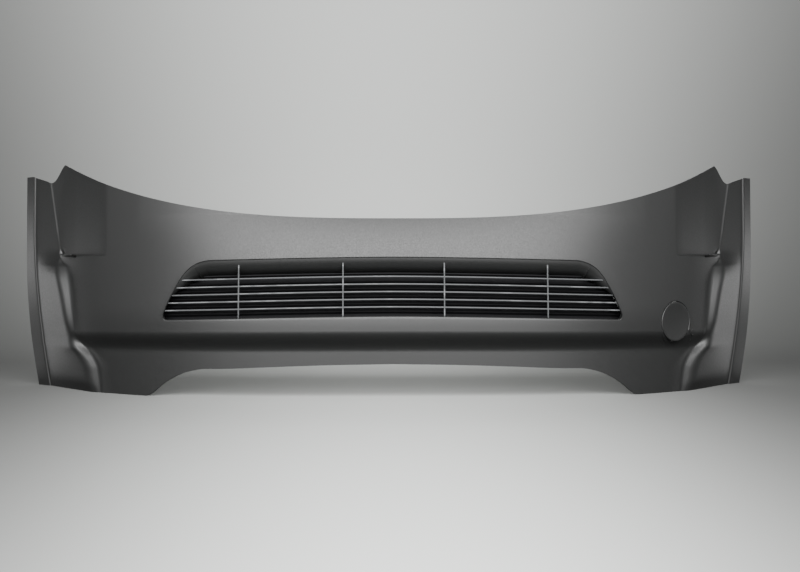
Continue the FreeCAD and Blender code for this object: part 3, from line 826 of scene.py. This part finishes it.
def grained_plastic(settings):
    """Unpainted dark grey plastic with a fine moulded grain."""
    material, tree, shader = nodes_of("grained_plastic")
    if tree is None:
        return material
    colour = Vector(settings.plastic_colour)
    tone = add(tree, "ShaderNodeMix", data_type="RGBA")
    tone.inputs["A"].default_value = (*(colour * 0.75), 1.0)
    tone.inputs["B"].default_value = (*(colour * 1.25), 1.0)
    tree.links.new(noise(tree, 260.0, 5.0, 0.7).outputs["Fac"], tone.inputs["Factor"])
    scuffs = ramp_node(tree, noise(tree, 55.0, 6.0, 0.75).outputs["Fac"], 0.70, 0.78, 0.0, 0.35)
    worn = add(tree, "ShaderNodeMix", data_type="RGBA")
    worn.inputs["B"].default_value = (*(colour * 5.0), 1.0)
    tree.links.new(scuffs.outputs["Result"], worn.inputs["Factor"])
    tree.links.new(tone.outputs["Result"], worn.inputs["A"])
    tree.links.new(worn.outputs["Result"], shader.inputs["Base Color"])
    shader.inputs["Specular IOR Level"].default_value = settings.plastic_specular
    rough = ramp_node(tree, noise(tree, 320.0, 4.0, 0.65).outputs["Fac"], 0.3, 0.7,
                      settings.plastic_roughness - 0.07, settings.plastic_roughness + 0.07)
    tree.links.new(rough.outputs["Result"], shader.inputs["Roughness"])
    grain = noise(tree, 1.0 / settings.grain_size, 2.0, 0.55)
    bump = add(tree, "ShaderNodeBump")
    bump.inputs["Strength"].default_value = 0.10
    bump.inputs["Distance"].default_value = 0.0002
    tree.links.new(grain.outputs["Fac"], bump.inputs["Height"])
    tree.links.new(bump.outputs["Normal"], shader.inputs["Normal"])
    return material


def slat_plastic(settings):
    """Satin plastic of the grille, painted paler than the skin: a painted highlight standing in for the light
    its front edges catch.
    """
    return plain_plastic("slat_plastic", settings.slat_colour_painted_highlight, 0.42)


def plain_plastic(name, colour, roughness, shine=0.5, metallic=0.0):
    material, tree, shader = nodes_of(name)
    if tree is None:
        return material
    mottle = noise(tree, 160.0, 3.0)
    tone = add(tree, "ShaderNodeMix", data_type="RGBA")
    tone.inputs["A"].default_value = (*(Vector(colour) * 0.9), 1.0)
    tone.inputs["B"].default_value = (*(Vector(colour) * 1.1), 1.0)
    tree.links.new(mottle.outputs["Fac"], tone.inputs["Factor"])
    tree.links.new(tone.outputs["Result"], shader.inputs["Base Color"])
    spread = ramp_node(tree, mottle.outputs["Fac"], 0.3, 0.7, roughness - 0.04, min(roughness + 0.04, 1.0))
    tree.links.new(spread.outputs["Result"], shader.inputs["Roughness"])
    shader.inputs["Specular IOR Level"].default_value = shine
    shader.inputs["Metallic"].default_value = metallic
    return material


def maths(tree, operation, first, second=None):
    """A maths node fed by sockets or plain numbers."""
    node = add(tree, "ShaderNodeMath", operation=operation)
    for socket, value in zip(node.inputs, (first, second)):
        if isinstance(value, bpy.types.NodeSocket):
            tree.links.new(value, socket)
        elif value is not None:
            socket.default_value = value
    return node.outputs["Value"]


def backdrop_paper(settings):
    """Pale paper with a painted pool of light: brightest along the middle and painted darker towards both sides.
    """
    material, tree, shader = nodes_of("backdrop_paper")
    if tree is None:
        return material
    split = add(tree, "ShaderNodeSeparateXYZ")
    tree.links.new(add(tree, "ShaderNodeTexCoord").outputs["Object"], split.inputs["Vector"])
    # Painted pool of light: away from the middle the paper's colour falls to 0.12 of itself, the lit band
    # widening towards the back and up the wall.
    width = maths(tree, "ADD", maths(tree, "MULTIPLY", split.outputs["Y"], 0.13), 0.56)
    width = maths(tree, "ADD", width, maths(tree, "MULTIPLY", split.outputs["Z"], 0.30))
    share = maths(tree, "DIVIDE", split.outputs["X"], maths(tree, "MAXIMUM", width, 0.25))
    painted_light_falloff = maths(tree, "EXPONENT", maths(tree, "MULTIPLY", maths(tree, "MULTIPLY", share, share), -1.0))
    tone = add(tree, "ShaderNodeMix", data_type="RGBA")
    colour = Vector(settings.backdrop_colour)
    tone.inputs["A"].default_value = (*(colour * 0.12), 1.0)
    tone.inputs["B"].default_value = (*colour, 1.0)
    tree.links.new(painted_light_falloff, tone.inputs["Factor"])
    tree.links.new(tone.outputs["Result"], shader.inputs["Base Color"])
    shader.inputs["Roughness"].default_value = 0.9
    shader.inputs["Specular IOR Level"].default_value = 0.1
    one_sided = add(tree, "ShaderNodeMixShader")
    tree.links.new(add(tree, "ShaderNodeNewGeometry").outputs["Backfacing"], one_sided.inputs["Fac"])
    tree.links.new(shader.outputs["BSDF"], one_sided.inputs[1])
    tree.links.new(add(tree, "ShaderNodeBsdfTransparent").outputs["BSDF"], one_sided.inputs[2])
    tree.links.new(one_sided.outputs["Shader"], tree.nodes["Material Output"].inputs["Surface"])
    return material


# ------------------------------------------------------------------ settings
class BumperSettings(bpy.types.PropertyGroup):
    wall: bpy.props.FloatProperty(
        name="Wall",
        description="Thickness of the moulded skin", default=0.003, unit="LENGTH")
    slat_thickness: bpy.props.FloatProperty(
        name="Slat thickness",
        description="Height of a slat's front edge", default=0.0028, unit="LENGTH")
    plastic_colour: bpy.props.FloatVectorProperty(
        name="Plastic colour",
        description="Colour of the bare plastic", default=(0.011, 0.0114, 0.0112), subtype="COLOR", size=3)
    # Painted highlight: the grille's colour is set paler than the skin's to stand in for the light the slats'
    # front edges catch.
    slat_colour_painted_highlight: bpy.props.FloatVectorProperty(
        name="Slat colour",
        description="Colour of the grille's slats", default=(0.10, 0.103, 0.106), subtype="COLOR", size=3)
    plastic_roughness: bpy.props.FloatProperty(
        name="Roughness",
        description="How broad its shine is", default=0.46, subtype="FACTOR")
    plastic_specular: bpy.props.FloatProperty(
        name="Shine",
        description="Strength of its shine", default=0.6, subtype="FACTOR")
    grain_size: bpy.props.FloatProperty(
        name="Grain size",
        description="Size of one dimple of the grain", default=0.0012, unit="LENGTH")
    backdrop_colour: bpy.props.FloatVectorProperty(
        name="Backdrop",
        description="Colour of floor and backdrop", default=(0.50, 0.51, 0.497), subtype="COLOR", size=3)
    front_power: bpy.props.FloatProperty(
        name="Front light",
        description="Power of the front light", default=300.0, unit="POWER")
    top_power: bpy.props.FloatProperty(
        name="Top light",
        description="Power of the overhead light", default=16.0, unit="POWER")
    back_power: bpy.props.FloatProperty(
        name="Rear light",
        description="Power of the light behind", default=17.0, min=0.0, unit="POWER")
    fill_power: bpy.props.FloatProperty(
        name="Fill lights",
        description="Power of each fill light", default=3.0, min=0.0, unit="POWER")
    low_power: bpy.props.FloatProperty(
        name="Low lights",
        description="Power of each light on the floor", default=2.0, min=0.0, unit="POWER")
    side_power: bpy.props.FloatProperty(
        name="Side lights",
        description="Power of each side light", default=2.3, unit="POWER")
    room_light: bpy.props.FloatProperty(
        name="Room light",
        description="Strength of the light from all round", default=0.03)


# ------------------------------------------------------------------ operators
class BUMPER_OT_skin(bpy.types.Operator):
    """Form the moulded skin with its openings"""
    bl_idname = "bumper.skin"
    bl_label = "Cover skin"

    def execute(self, context):
        build_skin(context.scene.bumper)
        build_fixings(context.scene.bumper)
        return {"FINISHED"}


class BUMPER_OT_grille(bpy.types.Operator):
    """Make the slats, bars and frame of the grille"""
    bl_idname = "bumper.grille"
    bl_label = "Grille"

    def execute(self, context):
        settings = context.scene.bumper
        build_slats(settings)
        build_bars(settings)
        build_grille_frame(settings)
        build_lugs(settings)
        return {"FINISHED"}


class BUMPER_OT_cap(bpy.types.Operator):
    """Make the pull-off tow-eye cover"""
    bl_idname = "bumper.cap"
    bl_label = "Tow-eye cover"

    def execute(self, context):
        build_cap(context.scene.bumper)
        return {"FINISHED"}


class BUMPER_OT_finishes(bpy.types.Operator):
    """Give the brackets, clips and fasteners their finishes"""
    bl_idname = "bumper.finishes"
    bl_label = "Finishes"

    def execute(self, context):
        kinds = (("louvre", plain_plastic("black_plastic", (0.007, 0.007, 0.008), 0.75, 0.2)),
                 ("screws", plain_plastic("zinc_steel", (0.55, 0.56, 0.58), 0.34, 0.5, 1.0)),
                 ("nuts", plain_plastic("spring_steel", (0.09, 0.09, 0.10), 0.42, 0.5, 0.9)),
                 ("clip", plain_plastic("clip_plastic", (0.02, 0.02, 0.02), 0.38)),
                 ("", plain_plastic("bracket_plastic", (0.03, 0.03, 0.032), 0.5)))
        for name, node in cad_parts.items():
            material = next(finish for word, finish in kinds if word in name)
            node.data.materials.clear()
            node.data.materials.append(material)
        return {"FINISHED"}


CAMERA_PLACE = (-42.6, -2461.7, 300.0)
CAMERA_YAW = math.radians(1.27)
CAMERA_PITCH = math.radians(1.69)
CAMERA_LENS = 56.6
BACKDROP_FLOOR_END = 0.75
BACKDROP_COVE = 0.55
PAPER_LENGTH = 9.0
PAPER_START = -4.0
PAPER_HALF_WIDTH = 6.0


class BUMPER_OT_studio(bpy.types.Operator):
    """Set up the floor, the backdrop, the lights and the camera"""
    bl_idname = "bumper.studio"
    bl_label = "Studio"

    def execute(self, context):
        settings = context.scene.bumper
        self.paper(settings)
        camera = bpy.data.cameras.new("camera")
        camera.lens = CAMERA_LENS
        camera.sensor_width = 36.0
        eye = bpy.data.objects.new("camera", camera)
        eye.location = point(*CAMERA_PLACE)
        eye.rotation_euler = (math.pi / 2.0 - CAMERA_PITCH, 0.0, -CAMERA_YAW)
        context.scene.collection.objects.link(eye)
        context.scene.camera = eye
        world = bpy.data.worlds.new("studio")
        world.use_nodes = True
        background = world.node_tree.nodes["Background"]
        background.inputs["Color"].default_value = (1.0, 1.0, 0.98, 1.0)
        background.inputs["Strength"].default_value = settings.room_light
        context.scene.world = world
        # Each lamp: name, place, what it points at, its size and its power.
        self.lamp("front", (0.0, -2.4, 1.35), (0.0, 0.0, 0.3), (4.2, 1.9), settings.front_power)
        self.lamp("above", (0.0, -0.2, 2.6), (0.0, 0.1, 0.0), (2.6, 1.4), settings.top_power)
        self.lamp("behind", (0.0, 1.5, 1.5), (0.0, 0.3, 0.1), (1.8, 0.8), settings.back_power)
        self.lamp("rear", (0.0, 2.3, 0.9), (0.0, 0.1, 0.25), (2.6, 0.8), settings.back_power)
        for side in (-1.0, 1.0):
            beside = 1.12 * side
            self.lamp("side", (1.96 * side, 0.8, 0.2), (0.75 * side, 0.1, 0.15), (0.6, 0.4),
                      settings.side_power)
            self.lamp("low", (beside, 0.42, 0.006), (beside, 0.42, 1.0), (0.7, 0.5),
                      settings.low_power)
            self.lamp("fill", (2.5 * side, -0.7, 0.7), (0.6 * side, -0.1, 0.2), (1.0, 0.9),
                      settings.fill_power)
        return {"FINISHED"}

    @staticmethod
    def paper(settings):
        """A pale sweep: floor, cove and upright backdrop in one sheet."""
        bm = bmesh.new()
        bmesh.ops.create_grid(bm, x_segments=1, y_segments=64, size=1.0)
        for vert in bm.verts:
            along = (vert.co.y + 1.0) * PAPER_LENGTH / 2.0 + PAPER_START
            turn = min(max((along - BACKDROP_FLOOR_END) / BACKDROP_COVE, 0.0), math.pi / 2.0)
            rest = max(along - BACKDROP_FLOOR_END - BACKDROP_COVE * math.pi / 2.0, 0.0)
            vert.co = (vert.co.x * PAPER_HALF_WIDTH,
                       min(along, BACKDROP_FLOOR_END) + BACKDROP_COVE * math.sin(turn),
                       BACKDROP_COVE * (1.0 - math.cos(turn)) + rest)
        mesh = bpy.data.meshes.new("studio_paper")
        for face in bm.faces:
            face.smooth = True
        bm.to_mesh(mesh)
        bm.free()
        sheet = bpy.data.objects.new("studio_paper", mesh)
        bpy.context.scene.collection.objects.link(sheet)
        mesh.materials.append(backdrop_paper(settings))
        sheet.visible_glossy = False

    @staticmethod
    def lamp(name, place, aim, size, power):
        light = bpy.data.lights.new(name, "AREA")
        light.shape = "RECTANGLE"
        light.size, light.size_y = size
        light.energy = power
        lamp = bpy.data.objects.new(name, light)
        lamp.location = place
        lamp.rotation_euler = (Vector(aim) - Vector(place)).to_track_quat("-Z", "Y").to_euler()
        lamp.visible_camera = False
        bpy.context.scene.collection.objects.link(lamp)


class BUMPER_PT_panel(bpy.types.Panel):
    """Lists the steps and the sizes"""
    bl_idname = "BUMPER_PT_panel"
    bl_label = "Bumper cover"
    bl_space_type = "VIEW_3D"
    bl_region_type = "UI"
    bl_category = "Bumper"

    def draw(self, context):
        for operator in STEPS:
            self.layout.operator(operator.bl_idname)
        for name in BumperSettings.__annotations__:
            self.layout.prop(context.scene.bumper, name)


STEPS = (BUMPER_OT_skin, BUMPER_OT_grille, BUMPER_OT_cap, BUMPER_OT_finishes, BUMPER_OT_studio)
CLASSES = (BumperSettings,) + STEPS + (BUMPER_PT_panel,)


def register():
    for each in CLASSES:
        bpy.utils.register_class(each)
    bpy.types.Scene.bumper = bpy.props.PointerProperty(type=BumperSettings)


def unregister():
    del bpy.types.Scene.bumper
    for each in reversed(CLASSES):
        bpy.utils.unregister_class(each)


def main():
    register()
    bpy.ops.bumper.skin()
    bpy.ops.bumper.grille()
    bpy.ops.bumper.cap()
    bpy.ops.bumper.finishes()
    bpy.ops.bumper.studio()
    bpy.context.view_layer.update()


if __name__ == "__main__":
    main()
